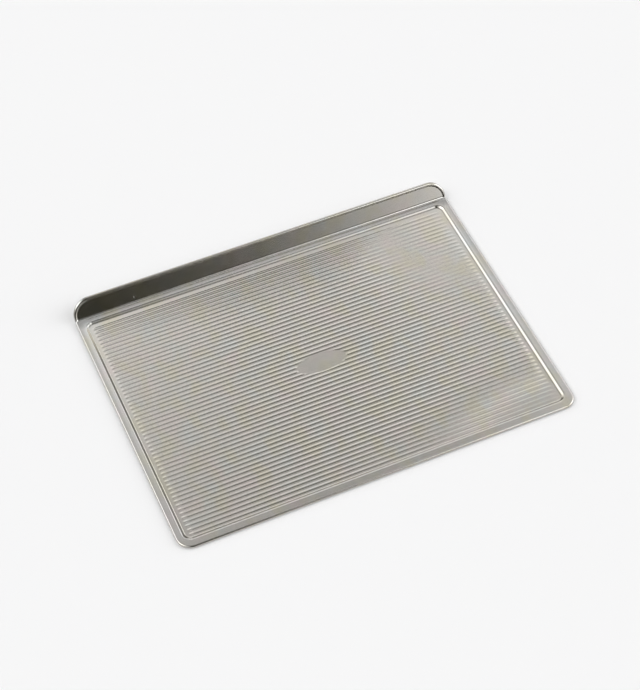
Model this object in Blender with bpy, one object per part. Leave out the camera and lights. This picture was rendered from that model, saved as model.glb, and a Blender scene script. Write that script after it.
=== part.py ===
"""Fluted cookie sheet: one pressed steel sheet whose edge is rolled round a steel wire.

Sizes are in metres. The blank is laid out flat in (across, along, up) coordinates: across
runs from the middle of the sheet to the right, along runs back from the front edge, and up
starts at the top of the flat border. The part behind the fold is then bent up into the lip.
"""
from math import asin, cos, pi, radians, sin, sqrt, tan

import bmesh
import bpy
from mathutils import Vector

# Overall sizes of the sheet
SHEET_WIDTH = 0.4572
FLAT_DEPTH = 0.3237          # front edge to the line where border and lip would meet
SHEET_GAUGE = 0.0006

# The lip along the back edge
LIP_ANGLE = radians(58)      # above the level
LIP_SLANT = 0.0243           # that line to the lip's rolled edge
FOLD_RADIUS = 0.0050
LIP_CORNER_RADIUS = 0.0205
LIP_BEAD_PROUD = 0.0007      # how far the lip's rolled edge stands out of its face

# The rolled edge and the wire in it
WIRE_RADIUS = 0.0010
WIRE_CLEARANCE = 0.0003
WIRE_BUTT_GAP = 0.0006       # between the two ends of the wire
CREASE_EASE = 0.0001         # inner side of the rolled edge to the crease where it leaves the face
FRONT_CORNER_RADIUS = 0.0158

# The flat border and the step down to the baking field
SIDE_BORDER = 0.0075
FRONT_BORDER = 0.0083
BACK_BORDER = 0.0053         # that same line to the top of the step
FIELD_DEPTH = 0.0019
STEP_RUN = 0.0052
FIELD_FOOT_RADIUS = 0.0052   # the field's corners at the foot of the step

# The flutes: long low ridges pressed up from the field's floor
FLUTE_CREST = 0.0005         # level top of a flute
FLUTE_VALLEY = 0.001285      # level strip between two flutes
FLUTE_RISE = 0.00045
FLUTE_SLOPE = 0.0018         # run of the slope on each side of a flute
FLUTE_END_GAP = 0.0025       # foot of the step to the ends of the flutes
FIELD_FRONT_MARGIN = 0.0009  # foot of the step to the first flute
FIELD_BACK_MARGIN = 0.0030   # least level strip behind the last flute

# The smooth oval in the middle of the field
OVAL_LENGTH = 0.0600
OVAL_WIDTH = 0.0250

# How finely the round stretches are divided
CORNER_STEPS = 8
FOLD_STEPS = 4
FIELD_CORNER_STEPS = 6
CURL_STEP = radians(30)
CURL_START = radians(135)    # on the face's side of the bead
CURL_TOP = radians(90)
CURL_STEPS = 10
WIRE_SIDES = 12

# Shares of the run and the height that a rounded slope takes, from one end to the other
SLOPE_RUNS = (0.28, 0.44, 0.28)
SLOPE_SHARES = (0.17, 0.66, 0.17)

BEAD_RADIUS = WIRE_RADIUS + WIRE_CLEARANCE + SHEET_GAUGE
CREASE_INSET = 2 * BEAD_RADIUS + CREASE_EASE
FOLD_TANGENT = FOLD_RADIUS * tan(LIP_ANGLE / 2)
FOLD_START = FLAT_DEPTH - FOLD_TANGENT
FOLD_LENGTH = FOLD_RADIUS * LIP_ANGLE
FOLD_END = FOLD_START + FOLD_LENGTH
LIP_FLAT = LIP_SLANT - FOLD_TANGENT
BLANK_DEPTH = FOLD_END + LIP_FLAT
FIELD_HALF_WIDTH = SHEET_WIDTH / 2 - SIDE_BORDER
FIELD_FRONT = FRONT_BORDER
FIELD_BACK = FLAT_DEPTH - BACK_BORDER
FLUTE_WIDTH = FLUTE_CREST + 2 * FLUTE_SLOPE
FLUTE_PITCH = FLUTE_WIDTH + FLUTE_VALLEY


def clear_scene():
    for item in list(bpy.data.objects):
        bpy.data.objects.remove(item, do_unlink=True)


def bend(point):
    """Carry a point of the flat blank to its place on the folded sheet."""
    across, along, up = point
    past = along - FOLD_START
    if past <= 0:
        return Vector(point)
    turn = min(past, FOLD_LENGTH) / FOLD_RADIUS
    beyond = max(past - FOLD_LENGTH, 0)
    reach = FOLD_RADIUS - up
    return Vector((across,
                   FOLD_START + reach * sin(turn) + beyond * cos(turn),
                   FOLD_RADIUS - reach * cos(turn) + beyond * sin(turn)))


def arc(centre, radius, start, end, steps):
    """Points of a circle's arc from one angle to another."""
    angles = [start + (end - start) * step / steps for step in range(steps + 1)]
    return [(centre[0] + radius * cos(angle), centre[1] + radius * sin(angle)) for angle in angles]


def lip_end(inset):
    """The right side's points up the fold and round the lip's corner, drawn in by inset."""
    corner = min(LIP_CORNER_RADIUS, BLANK_DEPTH - FOLD_START)
    radius = corner - inset
    centre = (SHEET_WIDTH / 2 - corner, BLANK_DEPTH - corner)
    points = []
    for step in range(FOLD_STEPS + 1):
        along = FOLD_START + FOLD_LENGTH * step / FOLD_STEPS
        past = max(along - centre[1], 0)
        points.append((centre[0] + sqrt(radius ** 2 - past ** 2), along))
    start = asin(max(FOLD_END - centre[1], 0) / radius)
    return points + arc(centre, radius, start, pi / 2, CORNER_STEPS)[1 if start else 0:]


def mirrored(points):
    return [(-across, along) for across, along in reversed(points)]


def rim_outline(inset):
    """The blank's outline, drawn in by inset, from the middle of the front edge leftwards round."""
    half = SHEET_WIDTH / 2
    centre = (half - FRONT_CORNER_RADIUS, FRONT_CORNER_RADIUS)
    right = arc(centre, FRONT_CORNER_RADIUS - inset, -pi / 2, 0, CORNER_STEPS) + lip_end(inset)
    return right + mirrored(right)


def bead_lift(along):
    """How far the rolled edge is lifted: nothing on the border, its full height on the lip."""
    share = min(max((along - FOLD_START) / FOLD_LENGTH, 0), 1)
    return LIP_BEAD_PROUD * share * share * (3 - 2 * share)


def rim_loop(inset, up):
    return [(across, along, up + bead_lift(along)) for across, along in rim_outline(inset)]


def field_loop(inset, up):
    """The rounded outline of the sunken field, drawn in by inset."""
    radius = FIELD_FOOT_RADIUS + STEP_RUN
    side = FIELD_HALF_WIDTH - radius
    right = arc((side, FIELD_FRONT + radius), radius - inset, -pi / 2, 0, FIELD_CORNER_STEPS)
    right += arc((side, FIELD_BACK - radius), radius - inset, 0, pi / 2, FIELD_CORNER_STEPS)
    return [(across, along, up) for across, along in right + mirrored(right)]


def add_loop(mesh, points):
    return [mesh.verts.new(point) for point in points]


def bridge(mesh, inner, outer):
    """Faces between two loops that run alike, looking up where outer lies outside inner."""
    count = len(inner)
    for here in range(count):
        after = (here + 1) % count
        mesh.faces.new((inner[here], outer[here], outer[after], inner[after]))


def roll_rim(mesh, crease):
    """Roll the edge down and round the wire, from the crease outwards."""
    corner_radius = BEAD_RADIUS / cos(CURL_STEP / 2)
    inner = crease
    for step in range(CURL_STEPS + 1):
        angle = CURL_START - step * CURL_STEP
        inset = BEAD_RADIUS - corner_radius * cos(angle)
        points = rim_loop(inset, corner_radius * sin(angle) - BEAD_RADIUS)
        if angle > CURL_TOP:
            points = [(across, along, max(up, 0)) for across, along, up in points]
        outer = add_loop(mesh, points)
        bridge(mesh, inner, outer)
        inner = outer


def fill_lip(mesh, crease):
    """The fold's strips and the lip's flat face."""
    first = CORNER_STEPS + 1
    last = len(crease) - 1 - first
    for step in range(FOLD_STEPS):
        right, left = first + step, last - step
        mesh.faces.new((crease[right], crease[right + 1], crease[left - 1], crease[left]))
    mesh.faces.new(crease[first + FOLD_STEPS:last - FOLD_STEPS + 1])
    return first, last


def fill_border(mesh, crease, field, fold_right, fold_left):
    """Four flat pieces of border round the field, split at its corners."""
    half = FIELD_CORNER_STEPS // 2
    corner = CORNER_STEPS // 2
    count = len(field)
    front_right, back_right = half, FIELD_CORNER_STEPS + 1 + half
    back_left, front_left = count - 1 - back_right, count - 1 - front_right
    outer_right, outer_left = corner, len(crease) - 1 - corner
    mesh.faces.new(crease[outer_right:fold_right + 1] + field[front_right:back_right + 1][::-1])
    mesh.faces.new([crease[fold_right], crease[fold_left]] + field[back_right:back_left + 1][::-1])
    mesh.faces.new(crease[fold_left:outer_left + 1] + field[back_left:front_left + 1][::-1])
    front = crease[outer_left:] + crease[:outer_right + 1]
    mesh.faces.new(front + (field[front_left:] + field[:front_right + 1])[::-1])


def sink_field(mesh, border):
    """Step down from the border to the floor of the field."""
    inset, up = 0, 0
    outer = border
    for run, share in zip(SLOPE_RUNS, SLOPE_SHARES):
        inset += run * STEP_RUN
        up -= share * FIELD_DEPTH
        inner = add_loop(mesh, field_loop(inset, up))
        bridge(mesh, inner, outer)
        outer = inner
    return outer


def flute_rows():
    """Front and back line of each flute, as many as the field has room for."""
    start = FIELD_FRONT + STEP_RUN + FIELD_FRONT_MARGIN
    room = FIELD_BACK - STEP_RUN - FIELD_BACK_MARGIN - start
    count = max(int((room + FLUTE_VALLEY) / FLUTE_PITCH), 1)
    fronts = [start + row * FLUTE_PITCH for row in range(count)]
    return [(front, front + FLUTE_WIDTH) for front in fronts]


def oval_half_length(front, back):
    """Half the length of the smooth oval where a flute crosses it, or nothing where it passes."""
    middle = (FIELD_FRONT + FIELD_BACK) / 2
    offset = max(0, front - middle, middle - back)
    half = OVAL_LENGTH / 2 * sqrt(max(1 - (2 * offset / OVAL_WIDTH) ** 2, 0))
    return half if half > FLUTE_SLOPE else 0


def flute_line(mesh, along, stops):
    return [mesh.verts.new((across, along, -FIELD_DEPTH)) for across in stops]


def lay_flutes(mesh):
    """Level strips and flutes' footprints across the field; returns them and the block's outline."""
    end = FIELD_HALF_WIDTH - STEP_RUN - FLUTE_END_GAP
    feet, left, right = [], [], []
    above = None
    for front, back in flute_rows():
        gap = oval_half_length(front, back)
        stops = [-end, -gap, gap, end] if gap else [-end, end]
        low, high = flute_line(mesh, front, stops), flute_line(mesh, back, stops)
        if above:
            mesh.faces.new(above + low[::-1])
        spans = [mesh.faces.new((low[k], low[k + 1], high[k + 1], high[k])) for k in range(len(stops) - 1)]
        feet += [spans[0], spans[-1]] if gap else spans
        left += [low[0], high[0]]
        right += [low[-1], high[-1]]
        above = high
    return feet, left, right


def fill_floor(mesh, foot, left, right):
    """The level margin between the foot of the step and the flutes."""
    half = FIELD_CORNER_STEPS // 2
    count = len(foot)
    front_right, back_right = half, FIELD_CORNER_STEPS + 1 + half
    back_left, front_left = count - 1 - back_right, count - 1 - front_right
    mesh.faces.new(foot[front_right:back_right + 1] + right[::-1])
    mesh.faces.new(foot[back_right:back_left + 1] + [left[-1], right[-1]])
    mesh.faces.new(foot[back_left:front_left + 1] + left)
    mesh.faces.new(foot[front_left:] + foot[:front_right + 1] + [right[0], left[0]])


def raise_flutes(mesh, feet):
    for run, share in zip(SLOPE_RUNS, SLOPE_SHARES):
        bmesh.ops.inset_individual(mesh, faces=feet, thickness=run * FLUTE_SLOPE,
                                   depth=share * FLUTE_RISE, use_even_offset=True)


def sheet_surface():
    """The upper and outer face of the sheet, with no thickness yet."""
    mesh = bmesh.new()
    crease = add_loop(mesh, [(across, along, 0) for across, along in rim_outline(CREASE_INSET)])
    roll_rim(mesh, crease)
    fold_right, fold_left = fill_lip(mesh, crease)
    border = add_loop(mesh, field_loop(0, 0))
    fill_border(mesh, crease, border, fold_right, fold_left)
    foot = sink_field(mesh, border)
    feet, left, right = lay_flutes(mesh)
    fill_floor(mesh, foot, left, right)
    raise_flutes(mesh, feet)
    for vert in mesh.verts:
        vert.co = bend(vert.co)
    return mesh


def wire_surface():
    """The wire along the middle of the rolled edge, with its two ends at the front."""
    mesh = bmesh.new()
    rings = []
    for side in range(WIRE_SIDES):
        angle = 2 * pi * side / WIRE_SIDES
        inset = BEAD_RADIUS - WIRE_RADIUS * cos(angle)
        up = WIRE_RADIUS * sin(angle) - BEAD_RADIUS
        path = rim_loop(inset, up)
        path = [(WIRE_BUTT_GAP / 2, inset, up)] + path + [(-WIRE_BUTT_GAP / 2, inset, up)]
        rings.append(add_loop(mesh, [bend(point) for point in path]))
    for side in range(WIRE_SIDES):
        here, after = rings[side], rings[(side + 1) % WIRE_SIDES]
        for step in range(len(here) - 1):
            mesh.faces.new((here[step], here[step + 1], after[step + 1], after[step]))
    mesh.faces.new([ring[0] for ring in rings])
    mesh.faces.new([ring[-1] for ring in reversed(rings)])
    return mesh


def make_material(name, color, roughness, metallic):
    material = bpy.data.materials.new(name)
    material.use_nodes = True
    shader = material.node_tree.nodes["Principled BSDF"]
    shader.inputs["Base Color"].default_value = (*color, 1)
    shader.inputs["Roughness"].default_value = roughness
    shader.inputs["Metallic"].default_value = metallic
    return material


def make_object(name, surface, shift, material):
    bmesh.ops.translate(surface, verts=surface.verts, vec=shift)
    data = bpy.data.meshes.new(name)
    surface.to_mesh(data)
    surface.free()
    data.shade_smooth()
    data.set_sharp_from_angle(angle=radians(32))
    data.materials.append(material)
    item = bpy.data.objects.new(name, data)
    bpy.context.scene.collection.objects.link(item)
    return item


def origin_shift(surface):
    """Bring the middle of the sheet's footprint, at its lowest level, to the origin."""
    along = [vert.co.y for vert in surface.verts]
    depth = max(2 * BEAD_RADIUS, FIELD_DEPTH + SHEET_GAUGE)
    return Vector((0, -(min(along) + max(along)) / 2, depth))


def main():
    clear_scene()
    surface = sheet_surface()
    shift = origin_shift(surface)
    coated = make_material("coated_steel", (0.42, 0.41, 0.39), 0.34, 0.85)
    sheet = make_object("baking_sheet", surface, shift, coated)
    wall = sheet.modifiers.new("gauge", "SOLIDIFY")
    wall.thickness = SHEET_GAUGE
    wall.offset = -1
    wall.use_even_offset = True
    bare = make_material("bare_wire", (0.55, 0.55, 0.54), 0.30, 1.0)
    make_object("rim_wire", wire_surface(), shift, bare)


main()
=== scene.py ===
from math import acos, cos, hypot, pi, radians, sin, sqrt, tan

import bmesh
import bpy
from mathutils.geometry import delaunay_2d_cdt
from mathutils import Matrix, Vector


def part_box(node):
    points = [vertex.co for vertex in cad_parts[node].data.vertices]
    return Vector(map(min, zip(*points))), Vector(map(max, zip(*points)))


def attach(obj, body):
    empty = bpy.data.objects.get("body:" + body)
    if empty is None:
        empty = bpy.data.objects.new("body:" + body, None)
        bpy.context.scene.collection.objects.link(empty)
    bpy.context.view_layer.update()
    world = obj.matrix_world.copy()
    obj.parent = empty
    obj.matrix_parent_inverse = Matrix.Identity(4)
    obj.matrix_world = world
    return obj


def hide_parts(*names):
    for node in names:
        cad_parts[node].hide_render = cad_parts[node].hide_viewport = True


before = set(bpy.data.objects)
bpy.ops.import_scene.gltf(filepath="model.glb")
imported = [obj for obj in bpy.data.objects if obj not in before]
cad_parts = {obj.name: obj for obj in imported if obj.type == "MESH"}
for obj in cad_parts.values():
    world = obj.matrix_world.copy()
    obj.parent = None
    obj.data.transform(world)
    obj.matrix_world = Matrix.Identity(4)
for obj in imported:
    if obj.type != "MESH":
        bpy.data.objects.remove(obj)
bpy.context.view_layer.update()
sheetLow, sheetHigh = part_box("baking_sheet")
tiny = 1e-6                     # two places closer than this are one


# Picking and shaping with Blender's own operators

def deselectAll():
    bpy.ops.object.select_all(action="DESELECT")


def startEditing(piece):
    deselectAll()
    piece.select_set(True)
    bpy.context.view_layer.objects.active = piece
    bpy.ops.object.mode_set(mode="EDIT")


def stopEditing():
    bpy.ops.object.mode_set(mode="OBJECT")


def pick(kind, test):
    bpy.ops.mesh.select_mode(type=kind)
    bpy.ops.mesh.select_all(action="DESELECT")
    mesh = bmesh.from_edit_mesh(bpy.context.object.data)
    parts = {"VERT": mesh.verts, "FACE": mesh.faces}[kind]
    for part in parts:
        if test(part):
            part.select_set(True)
    mesh.select_flush_mode()
    bmesh.update_edit_mesh(bpy.context.object.data)


def addPlate(name, low, high, up):
    deselectAll()
    bpy.ops.mesh.primitive_plane_add(size=1)
    plate = bpy.context.object
    plate.name = name
    plate.data.name = name
    startEditing(plate)
    bpy.ops.mesh.select_all(action="SELECT")
    bpy.ops.transform.resize(value=(high[0] - low[0], high[1] - low[1], 1), center_override=(0, 0, 0))
    bpy.ops.transform.translate(value=((low[0] + high[0]) / 2, (low[1] + high[1]) / 2, up))
    return plate


def roundCorners(radius, steps, test):
    pick("VERT", test)
    bpy.ops.mesh.bevel(offset=radius, segments=steps, affect="VERTICES", profile=0.5)


def stepInwards(path):  # path: how far in from the outline and how high, point by point
    pick("FACE", lambda face: True)
    for (run, up), (nextRun, nextUp) in zip(path, path[1:]):
        bpy.ops.mesh.inset(thickness=nextRun - run, depth=nextUp - up, use_even_offset=True)


def applyModifier(piece, name):
    deselectAll()
    piece.select_set(True)
    bpy.context.view_layer.objects.active = piece
    bpy.ops.object.modifier_apply(modifier=name)


def joinPieces(pieces):
    deselectAll()
    for piece in pieces:
        piece.select_set(True)
    bpy.context.view_layer.objects.active = pieces[0]
    bpy.ops.object.join()
    return pieces[0]


def eased(share):
    share = min(max(share, 0), 1)
    return share * share * (3 - 2 * share)


def steep(share):  # level for longer at both ends than eased
    return share ** 3 * (6 * share ** 2 - 15 * share + 10)


# The rim: the sheet's outline with its edge rolled round the wire

rim = {
    "gauge": 0.0006,
    "beadRadius": 0.0019,       # outside of the rolled edge
    "beadProud": 0.0009,        # how far it stands out of the lip's face
    "lipBeadMore": 0.28,        # the roll along the lip's top is fuller by this share
    "lipBeadRun": 0.015,        # over which it grows up the lip's ends
    "creaseEase": 0.0001,       # inner side of the bead to the crease
    "creaseHold": 0.0002,       # level ring at the bead's foot
    "overSteps": 7,             # rings over the outer half of the bead
    "shoulderSteps": 5,         # rings from its top to the crease
    "underSteps": 12,
    "curledBy": radians(165),   # from its outermost line, down and under
    "edgeReach": 0.0055,        # all of the rolled edge is nearer to the outline than this
    "frontCorner": 0.0158,
    "lipCorner": 0.0205,
    "cornerSteps": 14,
    "flatDepth": 0.3237,        # front edge to the line where border and lip would meet
    "foldRadius": 0.0050,
    "foldRows": 10,
    "foldHold": 0.0004,         # level rows that keep the fold's edges crisp
    "lipAngle": radians(58),
    "lipSlant": 0.0237,
    "gussetReach": 0.0121,      # the stiff edge bends over a longer run than the sheet between,
    "gussetRun": 0.0080,        # which leaves a low three-cornered facet at each end of the fold
    "gussetRise": radians(6),
    "gussetFade": 0.0035,
    "gussetAhead": 0.0020,      # a cut this far in front of the facets keeps their bend local
    "smoothUnder": radians(38),
}

halfWidth = (sheetHigh.x - sheetLow.x) / 2
front = sheetLow.y
borderUp = sheetLow.z + 2 * rim["beadRadius"]
foldTangent = rim["foldRadius"] * tan(rim["lipAngle"] / 2)
foldStart = front + rim["flatDepth"] - foldTangent
foldLength = rim["foldRadius"] * rim["lipAngle"]
foldEnd = foldStart + foldLength
blankBack = foldEnd + rim["lipSlant"] - foldTangent


def roundBlank():
    roundCorners(rim["frontCorner"], rim["cornerSteps"], lambda vert: vert.co.y < front + tiny)
    roundCorners(rim["lipCorner"], rim["cornerSteps"], lambda vert: vert.co.y > blankBack - tiny)


def rollOver():
    radius = rim["beadRadius"]
    turns = [pi / 2 * step / rim["overSteps"] for step in range(rim["overSteps"] + 1)]
    path = [(radius - radius * cos(turn), radius * sin(turn)) for turn in turns]
    shoulder = acos(1 - rim["beadProud"] / radius)
    for step in range(rim["shoulderSteps"]):
        path.append((radius + radius * sin(shoulder * (step + 1) / rim["shoulderSteps"]), radius))
    path.append((path[-1][0] + rim["creaseHold"], radius))
    path.append((2 * radius + rim["creaseEase"], radius))
    upper = addPlate("bakingSheet", (-halfWidth, front), (halfWidth, blankBack), borderUp - radius)
    roundBlank()
    stepInwards(path)
    stopEditing()
    return upper


def rollUnder():
    radius = rim["beadRadius"]
    turns = [rim["curledBy"] * step / rim["underSteps"] for step in range(rim["underSteps"] + 1)]
    path = [(radius - radius * cos(turn), radius * sin(turn)) for turn in turns]
    lower = addPlate("curl", (-halfWidth, front), (halfWidth, blankBack), borderUp - radius)
    roundBlank()
    bpy.ops.mesh.select_all(action="SELECT")
    bpy.ops.mesh.flip_normals()
    stepInwards(path)
    bpy.ops.mesh.delete(type="FACE")
    stopEditing()
    return lower


def pastCorner(co):  # how far out from the middle of the nearest lip corner's arc
    corner = rim["lipCorner"]
    across = max(abs(co.x) - (halfWidth - corner), 0)
    return across if co.x > 0 else -across, max(co.y - (blankBack - corner), 0)


def insetOnLip(co):  # how far in from the blank's outline, anywhere behind the front corners
    return rim["lipCorner"] - hypot(*pastCorner(co))


def fullness(co):  # size of the roll at this place, 1 along the flat edges
    return 1 + rim["lipBeadMore"] * eased((co.y - foldEnd) / rim["lipBeadRun"])


def growLipBead():
    data = bpy.context.object.data
    mesh = bmesh.from_edit_mesh(data)
    for vert in mesh.verts:
        inset, more = insetOnLip(vert.co), fullness(vert.co) - 1
        if more > 0 and inset < 2 * rim["beadRadius"] + 2 * rim["creaseEase"]:
            across, along = pastCorner(vert.co)
            inwards = more * inset / hypot(across, along)
            vert.co.x -= inwards * across
            vert.co.y -= inwards * along
            vert.co.z = borderUp + (vert.co.z - borderUp) * (1 + more)
    bmesh.update_edit_mesh(data)


def liftLipBead():
    data = bpy.context.object.data
    mesh = bmesh.from_edit_mesh(data)
    for vert in mesh.verts:
        radius = rim["beadRadius"] * fullness(vert.co)
        lift = rim["beadProud"] * fullness(vert.co) * eased((vert.co.y - foldStart) / foldLength)
        past = insetOnLip(vert.co) - radius
        if vert.co.z > borderUp - 10 * tiny and past > 10 * tiny:  # inwards of the bead's top
            lift = max(lift - radius + sqrt(max(radius ** 2 - past ** 2, 0)), 0)
        vert.co.z += lift
    bmesh.update_edit_mesh(data)


def makeRim():
    blank = joinPieces([rollOver(), rollUnder()])
    startEditing(blank)
    bpy.ops.mesh.select_all(action="SELECT")
    bpy.ops.mesh.remove_doubles(threshold=tiny)
    rows = [foldStart + foldLength * row / rim["foldRows"] for row in range(rim["foldRows"] + 1)]
    for row in [foldStart - rim["foldHold"]] + rows + [foldEnd + rim["foldHold"]]:
        bpy.ops.mesh.select_all(action="SELECT")
        bpy.ops.mesh.bisect(plane_co=(0, row, 0), plane_no=(0, 1, 0))
    growLipBead()
    liftLipBead()
    halfField = halfWidth * (foldStart - front)
    pick("FACE", lambda face: face.calc_area() > halfField)
    bpy.ops.mesh.delete(type="ONLY_FACE")
    stopEditing()
    print("rim:", len(blank.data.polygons), "faces")
    return blank


# The field: a step down to a floor with ridges pressed into it, round a smooth oval

field = {
    "sideBorder": 0.0075,
    "frontBorder": 0.0083,
    "backBorder": 0.0053,
    "aside": -0.0007,           # the real pressing sits a little off the middle
    "depth": 0.0019,
    "stepRun": 0.0052,
    "stepRings": 14,
    "footRadius": 0.0052,
    "cornerSteps": 12,
    "hold": 0.0002,             # level rings that keep the flats beside a slope flat
}
flute = {
    "crest": 0.0005,
    "valley": 0.001285,         # level strip between two ridges
    "slope": 0.0018,
    "rise": 0.0005,
    "rings": 6,
    "hold": 0.00008,
    "endRound": 0.45,           # radius of a ridge's round end, as a share of its width
    "endSteps": 5,              # facets of each quarter of it
    "endGap": 0.0016,           # foot of the step to the ridges' ends
    "fade": 0.0060,             # over which the ridges run out there
    "fadeCuts": 3,
    "frontMargin": 0.0009,
    "backMargin": 0.0030,
    "stops": (-0.165, -0.110, -0.055, 0.055, 0.090, 0.125, 0.155, 0.180, 0.200),
    "leftShare": 0.60,          # the ridges are lower at the left, rise over this stretch,
    "leftRun": (-0.24, 0.09),
    "rightLess": 0.20,          # sink a little over this one
    "rightRun": (0.02, 0.17),
    "shallow": [                # and die away in two corners: place, reach, share of the rise lost
        ((0.216, -0.157), (0.260, 0.075), 0.95),
        ((0.216, 0.144), (0.160, 0.180), 0.90),
    ],
}
oval = {
    "length": 0.0600,
    "width": 0.0250,
    "edge": 0.0024,             # over which the ridges run out
    "edgeSteps": 6,
    "station": 0.0008,          # spacing of the cuts across the ridges there
    "spare": 3,                 # cuts past its ends
}

fieldLow = (-halfWidth + field["sideBorder"], front + field["frontBorder"])
fieldHigh = (halfWidth - field["sideBorder"], front + rim["flatDepth"] - field["backBorder"])
fieldMiddle = (fieldLow[1] + fieldHigh[1]) / 2
floorUp = borderUp - field["depth"]
mouth = flute["crest"] + 2 * flute["slope"]
pitch = mouth + flute["valley"]
fluteReach = fieldHigh[0] - field["stepRun"] - flute["endGap"]
firstFlute = fieldLow[1] + field["stepRun"] + flute["frontMargin"]
fluteRoom = fieldHigh[1] - field["stepRun"] - flute["backMargin"] - firstFlute
fluteCount = int((fluteRoom + flute["valley"]) / pitch)


def makeStep():
    hold, run = field["hold"], field["stepRun"]
    path = [(0, 0)]
    for ring in range(field["stepRings"] + 1):
        share = ring / field["stepRings"]
        path.append((hold + run * share, -field["depth"] * steep(share)))
    path.append((run + 2 * hold, -field["depth"]))
    low = (fieldLow[0] - hold, fieldLow[1] - hold)
    high = (fieldHigh[0] + hold, fieldHigh[1] + hold)
    step = addPlate("step", low, high, borderUp)
    roundCorners(field["footRadius"] + run + hold, field["cornerSteps"], lambda vert: True)
    stepInwards(path)
    bpy.ops.mesh.delete(type="FACE")
    stopEditing()
    print("step:", len(step.data.polygons), "faces")
    return step


def makeFlute():
    hold = flute["hold"]
    path = [(0, 0)]
    for ring in range(flute["rings"] + 1):
        share = ring / flute["rings"]
        path.append((hold + flute["slope"] * share, flute["rise"] * eased(share)))
    low = (-fluteReach - hold, firstFlute - hold)
    high = (fluteReach + hold, firstFlute + mouth + hold)
    tool = addPlate("flute", low, high, floorUp)
    roundCorners(flute["endRound"] * (mouth + 2 * hold), flute["endSteps"], lambda vert: True)
    stepInwards(path)
    cuts = list(flute["stops"])
    for side in (-1, 1):
        for cut in range(flute["fadeCuts"]):
            cuts.append(side * (fluteReach - mouth / 2 - flute["fade"] * cut / (flute["fadeCuts"] - 1)))
    for across in cuts:
        bpy.ops.mesh.select_all(action="SELECT")
        bpy.ops.mesh.bisect(plane_co=(across, 0, 0), plane_no=(1, 0, 0))
    data = bpy.context.object.data
    mesh = bmesh.from_edit_mesh(data)
    for vert in mesh.verts:
        left = eased((fluteReach - abs(vert.co.x)) / (flute["fade"] + mouth / 2))
        vert.co.z = floorUp + (vert.co.z - floorUp) * left
    bmesh.update_edit_mesh(data)
    stopEditing()
    return tool


def partWay(value, run):  # 0 at the run's start, 1 at its end
    return eased((value - run[0]) / (run[1] - run[0]))


def pressedShare(x, y):
    share = flute["leftShare"] + (1 - flute["leftShare"]) * partWay(x, flute["leftRun"])
    share -= flute["rightLess"] * partWay(x, flute["rightRun"])
    for middle, reach, taken in flute["shallow"]:
        away = hypot((x - middle[0]) / reach[0], (y - middle[1]) / reach[1])
        share *= 1 - taken * (1 - eased(away))
    return share


def pressUnevenly(rows):
    startEditing(rows)
    data = bpy.context.object.data
    mesh = bmesh.from_edit_mesh(data)
    for vert in mesh.verts:
        vert.co.z = floorUp + (vert.co.z - floorUp) * pressedShare(vert.co.x, vert.co.y)
    bmesh.update_edit_mesh(data)
    stopEditing()


def repeatFlute(tool, first, count):
    rows = tool.copy()
    rows.data = tool.data.copy()
    bpy.context.scene.collection.objects.link(rows)
    startEditing(rows)
    bpy.ops.mesh.select_all(action="SELECT")
    bpy.ops.transform.translate(value=(0, first * pitch, 0))
    stopEditing()
    array = rows.modifiers.new("rows", "ARRAY")
    array.use_relative_offset = False
    array.use_constant_offset = True
    array.constant_offset_displace = (0, pitch, 0)
    array.count = count
    applyModifier(rows, "rows")
    return rows


def flattenOval(rows):
    startEditing(rows)
    stations = int((oval["length"] / 2 + oval["edge"]) / oval["station"]) + oval["spare"]
    for station in range(-stations, stations + 1):
        bpy.ops.mesh.select_all(action="SELECT")
        bpy.ops.mesh.bisect(plane_co=(station * oval["station"], 0, 0), plane_no=(1, 0, 0))
    depth = 1
    for step in range(1, oval["edgeSteps"] + 1):
        grow = oval["edge"] * (0.5 - (step - 0.5) / oval["edgeSteps"])
        length, width = oval["length"] / 2 + grow, oval["width"] / 2 + grow
        pick("VERT", lambda vert: hypot(vert.co.x / length, (vert.co.y - fieldMiddle) / width) < 1)
        left = 1 - eased(step / oval["edgeSteps"])
        bpy.ops.transform.resize(value=(1, 1, left / depth), center_override=(0, 0, floorUp))
        depth = left
    stopEditing()


def makeFlutes():
    tool = makeFlute()
    nearOval = oval["width"] / 2 + oval["edge"] + mouth / 2
    middles = [firstFlute + mouth / 2 + row * pitch for row in range(fluteCount)]
    crossed = [row for row in range(fluteCount) if abs(middles[row] - fieldMiddle) < nearOval]
    before = repeatFlute(tool, 0, crossed[0])
    across = repeatFlute(tool, crossed[0], len(crossed))
    beyond = repeatFlute(tool, crossed[-1] + 1, fluteCount - crossed[-1] - 1)
    bpy.data.objects.remove(tool)
    flattenOval(across)
    rows = joinPieces([before, across, beyond])
    pressUnevenly(rows)
    print("flutes:", fluteCount, "in all,", len(crossed), "across the oval")
    return rows


def loopsOf(edges):  # gives each vertex the number of the closed outline that it is on
    loops = {}
    known = set(edges)
    for edge in edges:
        number = len(set(loops.values()))
        waiting = [vert for vert in edge.verts if vert not in loops]
        while waiting:
            vert = waiting.pop()
            loops[vert] = number
            near = [link.other_vert(vert) for link in vert.link_edges if link in known]
            waiting += [other for other in near if other not in loops]
    return loops


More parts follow.
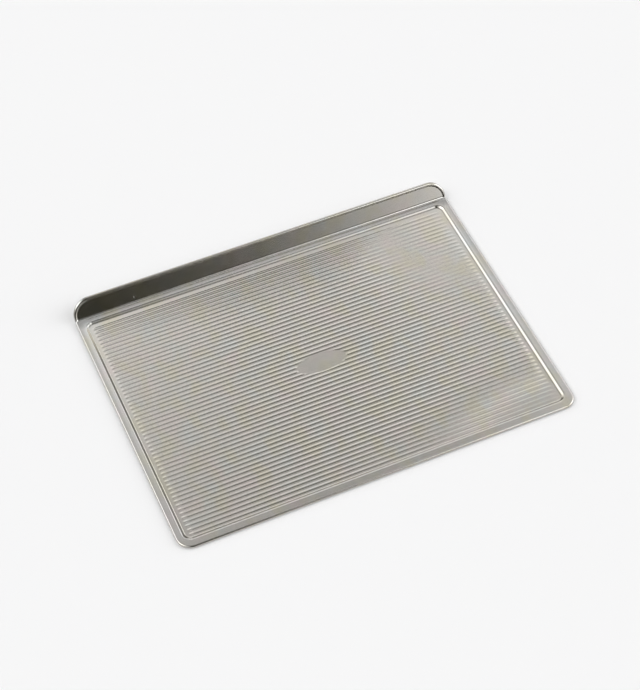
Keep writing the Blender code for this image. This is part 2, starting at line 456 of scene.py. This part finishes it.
def fillLevel(up):  # mesh.fill tangles so many outlines, so the level faces are worked out here
    data = bpy.context.object.data
    mesh = bmesh.from_edit_mesh(data)
    edges = [edge for edge in mesh.edges
             if edge.is_boundary and all(abs(vert.co.z - up) < tiny for vert in edge.verts)]
    loops = loopsOf(edges)
    verts = list(loops)
    number = {vert: index for index, vert in enumerate(verts)}
    outer = loops[max(verts, key=lambda vert: vert.co.y)]
    links = [[number[vert] for vert in edge.verts] for edge in edges]
    places = [vert.co.xy * 1000 for vert in verts]  # in millimetres, so that the tolerance is small
    filled = delaunay_2d_cdt(places, links, [], 1, 10 * tiny)
    for face in filled[2]:
        corners = [verts[filled[3][corner][0]] for corner in face]
        around = {loops[vert] for vert in corners}
        if len(around) > 1 or outer in around:
            mesh.faces.new(corners)
    bmesh.update_edit_mesh(data)


def gussetLift(co):
    across = min(abs(co.x), halfWidth) - (halfWidth - rim["gussetReach"])
    start = foldStart - rim["gussetRun"] * max(across, 0) / rim["gussetReach"]
    rise = tan(rim["gussetRise"]) * max(min(co.y, foldStart) - start, 0)
    return rise * (1 - eased((co.y - foldStart) / rim["gussetFade"])) if across > 0 else 0


def onBorder(face):  # the rolled edge counts too
    outOfField = halfWidth - rim["edgeReach"]
    return all(vert.co.z > borderUp - tiny or abs(vert.co.x) > outOfField for vert in face.verts)


def raiseGussets():
    reach, run = rim["gussetReach"], rim["gussetRun"]
    outer = foldStart - run - rim["gussetAhead"]
    pick("FACE", onBorder)
    bpy.ops.mesh.bisect(plane_co=(0, outer, 0), plane_no=(0, 1, 0))
    for side in (-1, 1):
        for hold in (-rim["foldHold"], 0, rim["foldHold"]):
            pick("FACE", lambda face: onBorder(face) and outer < face.calc_center_median().y < foldStart)
            place = (side * (halfWidth - reach), foldStart + hold, 0)
            bpy.ops.mesh.bisect(plane_co=place, plane_no=(side * run, reach, 0))
    data = bpy.context.object.data
    mesh = bmesh.from_edit_mesh(data)
    for vert in mesh.verts:
        vert.co.z += gussetLift(vert.co)
    bmesh.update_edit_mesh(data)


def turnUpLip():
    turn = rim["lipAngle"] / rim["foldRows"]
    for row in reversed(range(rim["foldRows"])):
        crease = foldStart + foldLength * (row + 0.5) / rim["foldRows"]
        pick("VERT", lambda vert: vert.co.y > crease)
        bpy.ops.transform.rotate(value=-turn, orient_axis="X", center_override=(0, crease, borderUp))


def makeSheet():
    pressing = joinPieces([makeStep(), makeFlutes()])
    startEditing(pressing)
    bpy.ops.mesh.select_all(action="SELECT")
    bpy.ops.transform.translate(value=(field["aside"], 0, 0))
    stopEditing()
    piece = joinPieces([makeRim(), pressing])
    startEditing(piece)
    fillLevel(floorUp)
    fillLevel(borderUp)
    bpy.ops.mesh.remove_doubles(threshold=tiny / 10)
    bpy.ops.mesh.normals_make_consistent(inside=False)
    mesh = bmesh.from_edit_mesh(piece.data)
    if sum(face.normal.z * face.calc_area() for face in mesh.faces) < 0:
        bpy.ops.mesh.flip_normals()
    raiseGussets()
    turnUpLip()
    stopEditing()
    wall = piece.modifiers.new("gauge", "SOLIDIFY")
    wall.thickness = rim["gauge"]
    wall.offset = -1
    wall.use_even_offset = True
    applyModifier(piece, "gauge")
    bpy.ops.object.shade_smooth_by_angle(angle=rim["smoothUnder"])
    print("baking sheet:", len(piece.data.polygons), "faces")
    return piece


# Shader expressions

class Socket:
    def __init__(self, tree, output=None):
        self.tree = tree
        self.output = output

    def make(self, kind, settings=(), inputs=(), output=0):
        node = self.tree.nodes.new(kind)
        for name, value in dict(settings).items():
            if name == "stops":
                for place, color in value[1:-1]:
                    node.color_ramp.elements.new(place)
                for element, (place, color) in zip(node.color_ramp.elements, value):
                    element.position = place
                    element.color = color
            else:
                setattr(node, name, value)
        for name, value in dict(inputs).items():
            if isinstance(value, Socket):
                self.tree.links.new(value.output, node.inputs[name])
            else:
                node.inputs[name].default_value = value
        return Socket(self.tree, node.outputs[output])

    def __add__(self, other):
        return maths("ADD", self, other)

    def __radd__(self, other):
        return maths("ADD", other, self)

    def __sub__(self, other):
        return maths("SUBTRACT", self, other)

    def __mul__(self, other):
        return maths("MULTIPLY", self, other)

    def __rmul__(self, other):
        return maths("MULTIPLY", other, self)


def makeFrom(kind, settings, inputs, output=0):  # puts the node in the tree of its first linked value
    owner = next(value for value in inputs.values() if isinstance(value, Socket))
    return owner.make(kind, settings, inputs, output)


def maths(operation, *values):
    return makeFrom("ShaderNodeMath", {"operation": operation}, dict(enumerate(values)))


def startMaterial(name, shaderInputs):
    material = bpy.data.materials.new(name)
    material.use_nodes = True
    tree = material.node_tree
    tree.nodes.clear()
    shader = tree.nodes.new("ShaderNodeBsdfPrincipled")
    end = tree.nodes.new("ShaderNodeOutputMaterial")
    tree.links.new(shader.outputs[0], end.inputs[0])
    for name, value in shaderInputs.items():
        shader.inputs[name].default_value = value
    return material, shader, Socket(tree).make("ShaderNodeTexCoord", output="Object")


def feed(shader, links):
    for name, value in links.items():
        value.tree.links.new(value.output, shader.inputs[name])


def stretched(place, times):  # the same place with its axes drawn out or pressed together
    return makeFrom("ShaderNodeVectorMath", {"operation": "MULTIPLY"}, {0: place, 1: times})


def shaded(color, light):
    return makeFrom("ShaderNodeVectorMath", {"operation": "SCALE"}, {0: color, "Scale": light})


def noise(place, size, detail=2.0, rough=0.5, warp=0.0):  # 0 to 1, with features about as wide as size
    inputs = {"Vector": place, "Scale": 1 / size, "Detail": detail, "Roughness": rough, "Distortion": warp}
    return makeFrom("ShaderNodeTexNoise", {}, inputs)


def between(value, low, high, atLow=0.0, atHigh=1.0):
    inputs = {"Value": value, "From Min": low, "From Max": high, "To Min": atLow, "To Max": atHigh}
    return makeFrom("ShaderNodeMapRange", {"interpolation_type": "SMOOTHSTEP"}, inputs)


def farFrom(place, middle, reach):  # 1 at the skin of an ellipsoid
    apart = makeFrom("ShaderNodeVectorMath", {"operation": "SUBTRACT"}, {0: place, 1: middle})
    scaled = stretched(apart, [1 / part for part in reach])
    return makeFrom("ShaderNodeVectorMath", {"operation": "LENGTH"}, {0: scaled}, "Value")


def mixColor(one, other, share):
    return makeFrom("ShaderNodeMix", {"data_type": "RGBA"}, {0: share, 6: one, 7: other}, 2)


def raised(height, depth, under=None):  # depth: how high in metres a height of 1 stands
    inputs = {"Height": height, "Distance": depth}
    if under:
        inputs["Normal"] = under
    return makeFrom("ShaderNodeBump", {}, inputs)


# Finishes

# A texture below is size, then detail, roughness and warp where they differ from noise()'s own

steel = {
    "blotches": (0.034, 2.0, 0.55, 0.4),  # the thin clear coating breaks the grey into faint hues
    "hues": [
        (0.30, (0.572, 0.522, 0.498, 1)),
        (0.45, (0.556, 0.528, 0.496, 1)),
        (0.55, (0.546, 0.529, 0.497, 1)),
        (0.70, (0.530, 0.532, 0.510, 1)),
    ],
    "yellowStretch": (1.2, 0.8, 1.0),
    "yellows": (0.027, 1.5),
    "yellowRange": (0.42, 0.72),
    "yellow": (0.556, 0.528, 0.436, 1),
    "yellowShare": 0.8,
    "patches": (0.011, 3.0, 0.6),
    "shade": 0.05,              # how much lighter and darker the patches are
    "paintedSheen": (1.050, 1.070, 1.115),  # painted sheen: the level border is painted paler and bluer than the pressed field, least at the front
    "paintedSheenUp": (floorUp + 0.0007, borderUp - 0.0003),
    "paintedSheenLip": (borderUp + 0.003, borderUp),
    "paintedSheenFront": (fieldLow[1] - 0.002, fieldLow[1] + 0.010, 0.3, 1.0),
    "roughness": 0.19,
    "roughSpread": 0.05,
    "streakStretch": (9, 520, 520),  # rolling marks run along the sheet
    "streaks": (1.0, 3.0, 0.6),
    "streakShade": 0.02,
    "streakRough": 0.035,
    "streakDepth": 0.0000016,
    "waves": (0.095, 1.0),      # the thin sheet isn't quite flat
    "waveDepth": 0.00020,
    "dents": (0.017, 1.0),
    "dentDepth": 0.000016,
    "peel": (0.0007, 1.0),
    "peelDepth": 0.0000022,
    "coat": 0.35,
    "coatSpread": 0.25,
}
scuffs = {
    "speckScale": 95.0,         # cells in a metre, each with a speck at its middle
    "speckEdge": (0.05, 0.02),
    "speckPatches": (0.013, 1.0),
    "speckRange": (0.66, 0.70),
    "hairStretch": (55, 6, 6),
    "hairs": (0.35, 1.0, 0.5, 0.25),
    "hairEdge": (0.0018, 0.0005),
    "hairPatches": (0.045, 1.0),
    "hairRange": (0.62, 0.70),
    "show": 0.3,                # how much the faint specks and scratches show
    "nick": (-0.1576, 0.1577, 0.0090),  # low on the lip
    "nickReach": (0.0005, 0.0014, 0.0022),
    "nickEdge": (1.0, 0.5),
    "bare": (0.86, 0.85, 0.82, 1),
    "bareShare": 0.7,
    "rougher": 0.12,
    "lessCoat": 0.3,
}
wire = {
    "color": (0.55, 0.55, 0.54, 1),
    "dull": (0.40, 0.385, 0.37, 1),
    "roughness": 0.3,
    "drawn": (0.0004, 4.0, 0.7),
    "drawnRough": 0.12,
    "drawnDepth": 0.000004,
    "tarnish": (0.012, 3.0, 0.6),
    "tarnishRange": (0.45, 0.70),
    "tarnishRough": 0.15,
}


def offMiddle(texture):  # noise runs from 0 to 1 round a middle of a half
    return texture - 0.5


def steelColor(place, blotches, patches, streaks):
    hue = makeFrom("ShaderNodeValToRGB", {"stops": steel["hues"]}, {"Fac": blotches})
    yellows = noise(stretched(place, steel["yellowStretch"]), *steel["yellows"])
    warm = between(yellows, *steel["yellowRange"])
    tinted = mixColor(hue, steel["yellow"], steel["yellowShare"] * warm)
    light = 1 + steel["shade"] * offMiddle(patches) + steel["streakShade"] * offMiddle(streaks)
    color = shaded(tinted, light)
    back = makeFrom("ShaderNodeSeparateXYZ", {}, {0: place}, "Y")
    up = makeFrom("ShaderNodeSeparateXYZ", {}, {0: place}, "Z")
    # painted sheen: the level border is painted paler and bluer, less so at the front
    level = between(up, *steel["paintedSheenUp"]) * between(up, *steel["paintedSheenLip"])
    paintedSheen = level * between(back, *steel["paintedSheenFront"])
    return mixColor(color, stretched(color, steel["paintedSheen"]), paintedSheen)


def scuffMarks(place):
    cells = {"Vector": place, "Scale": scuffs["speckScale"]}
    dots = makeFrom("ShaderNodeTexVoronoi", {}, cells, "Distance")
    speckPlaces = between(noise(place, *scuffs["speckPatches"]), *scuffs["speckRange"])
    specks = between(dots, *scuffs["speckEdge"]) * speckPlaces
    hairs = noise(stretched(place, scuffs["hairStretch"]), *scuffs["hairs"])
    hairPlaces = between(noise(place, *scuffs["hairPatches"]), *scuffs["hairRange"])
    scratches = between(maths("ABSOLUTE", offMiddle(hairs)), *scuffs["hairEdge"]) * hairPlaces
    nick = between(farFrom(place, scuffs["nick"], scuffs["nickReach"]), *scuffs["nickEdge"])
    return maths("MINIMUM", scuffs["show"] * (specks + scratches) + nick, 1.0)


def steelSurface(place, streaks):
    waves = raised(noise(place, *steel["waves"]), steel["waveDepth"])
    dents = raised(noise(place, *steel["dents"]), steel["dentDepth"], waves)
    rolled = raised(streaks, steel["streakDepth"], dents)
    return raised(noise(place, *steel["peel"]), steel["peelDepth"], rolled)


def coatedSteel():
    constants = {"Metallic": 1.0, "Coat Roughness": 0.12, "Coat IOR": 1.42}
    material, shader, place = startMaterial("coatedSteel", constants)
    streaks = noise(stretched(place, steel["streakStretch"]), *steel["streaks"])
    blotches = noise(place, *steel["blotches"])
    patches = noise(place, *steel["patches"])
    marks = scuffMarks(place)
    color = steelColor(place, blotches, patches, streaks)
    scuffed = mixColor(color, scuffs["bare"], scuffs["bareShare"] * marks)
    rough = steel["roughness"] + steel["roughSpread"] * offMiddle(patches) + scuffs["rougher"] * marks
    brushed = rough + steel["streakRough"] * offMiddle(streaks)
    coat = steel["coat"] + steel["coatSpread"] * offMiddle(blotches) - scuffs["lessCoat"] * marks
    normal = steelSurface(place, streaks)
    feed(shader, {"Base Color": scuffed, "Roughness": brushed, "Normal": normal, "Coat Weight": coat})
    print("finish:", material.name, len(material.node_tree.nodes), "nodes")
    return material


def wireSteel():
    material, shader, place = startMaterial("wireSteel", {"Metallic": 1.0})
    drawn = noise(place, *wire["drawn"])
    tarnish = between(noise(place, *wire["tarnish"]), *wire["tarnishRange"])
    color = mixColor(wire["color"], wire["dull"], tarnish)
    rough = wire["roughness"] + wire["drawnRough"] * offMiddle(drawn) + wire["tarnishRough"] * tarnish
    feed(shader, {"Base Color": color, "Roughness": rough, "Normal": raised(drawn, wire["drawnDepth"])})
    print("finish:", material.name, len(material.node_tree.nodes), "nodes")
    return material


# Floor, light and camera

studio = {
    "floorSize": 12,
    "floorColor": (0.9, 0.9, 0.912, 1),
    "paper": (0.0012, 2.0),
    "paperDepth": 0.00001,
    "shade": (0.0125, 0.0115, 0.0005),  # the walls between the patches are dim and warm
    "lights": [                 # bearing clockwise from +Y, height, spread, strength
        (152, 5, 3.6, 0.385),
        (152, 11, 3.6, 1.458),
        (152, 17, 3.6, 0.669),
        (158, 11, 3.6, 1.443),
        (6, 45, 5.5, 0.997),
        (7, 54, 5.5, 0.829),
        (13, 72, 5.5, 0.406),
        (14, 18, 5.5, 0.946),
        (15, 27, 5.5, 1.015),
        (18, 44, 5.5, 0.573),
        (23, 17, 5.5, 1.28),
        (30, 41, 5.5, 0.976),
        (35, 49, 5.5, 0.226),
        (37, 68, 5.5, 0.922),
        (53, 62, 5.5, 0.646),
        (90, 68, 5.5, 0.22),
        (111, 66, 5.5, 0.15),
        (127, 62, 5.5, 1.077),
        (138, 56, 5.5, 0.996),
        (145, 49, 5.5, 2.459),
        (150, 41, 5.5, 1.954),
        (153, 34, 5.5, 0.31),
        (49, 42, 7, 2.427),
        (61, 1, 7, 0.302),
        (303, 26, 7, 0.749),
        (306, 34, 7, 0.816),
        (310, 16, 7, 0.603),
        (312, 23, 7, 0.653),
        (316, 30, 7, 0.393),
        (317, 49, 7, 0.671),
        (72, 3, 14, 0.293),
        (83, 27, 14, 0.856),
        (96, 3, 14, 2.292),
        (111, 27, 14, 3.278),
        (240, 51, 14, 1.374),
        (277, 27, 14, 0.984),
        (280, 51, 14, 3.079),
        (332, 27, 14, 1.277),
    ],
}
view = {
    "place": (-0.49969, -1.14610, 1.64420),
    "tilt": radians(37.6693),
    "lean": radians(0.2376),
    "turn": radians(-23.8600),
    "lens": 98.575,
}


def makeFloor():
    floor = addPlate("floor", (-studio["floorSize"] / 2,) * 2, (studio["floorSize"] / 2,) * 2, 0)
    stopEditing()
    constants = {"Base Color": studio["floorColor"], "Roughness": 0.9, "Specular IOR Level": 0.0}
    material, shader, place = startMaterial("floorPaper", constants)
    feed(shader, {"Normal": raised(noise(place, *studio["paper"]), studio["paperDepth"])})
    floor.data.materials.append(material)


def makeWorld():  # the room that the steel mirrors: soft patches of light on dim walls
    world = bpy.data.worlds.new("studio")
    bpy.context.scene.world = world
    world.use_nodes = True
    toward = Socket(world.node_tree).make("ShaderNodeTexCoord", output="Generated")
    glow = 0.0
    for bearing, height, spread, strength in studio["lights"]:
        turn, rise = radians(bearing), radians(height)
        facing = (cos(rise) * sin(turn), cos(rise) * cos(turn), sin(rise))
        near = makeFrom("ShaderNodeVectorMath", {"operation": "DOT_PRODUCT"}, {0: toward, 1: facing}, 1)
        glow = maths("MULTIPLY_ADD", maths("POWER", near, 1 / radians(spread) ** 2), strength, glow)
    lit = makeFrom("ShaderNodeVectorMath", {"operation": "ADD"}, {0: glow, 1: studio["shade"]})
    feed(world.node_tree.nodes["Background"], {"Color": lit})
    print("world:", len(studio["lights"]), "patches of light")


def makeCamera():
    data = bpy.data.cameras.new("camera")
    data.lens = view["lens"]
    camera = bpy.data.objects.new("camera", data)
    camera.location = view["place"]
    camera.rotation_euler = (view["tilt"], view["lean"], view["turn"])
    bpy.context.scene.collection.objects.link(camera)
    bpy.context.scene.camera = camera
    print("camera at", view["place"])


bakingSheet = makeSheet()
bakingSheet.data.materials.append(coatedSteel())
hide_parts("baking_sheet")
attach(bakingSheet, "root")
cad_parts["rim_wire"].material_slots[0].material = wireSteel()
makeFloor()
makeWorld()
makeCamera()
bpy.context.scene.view_settings.view_transform = "Standard"
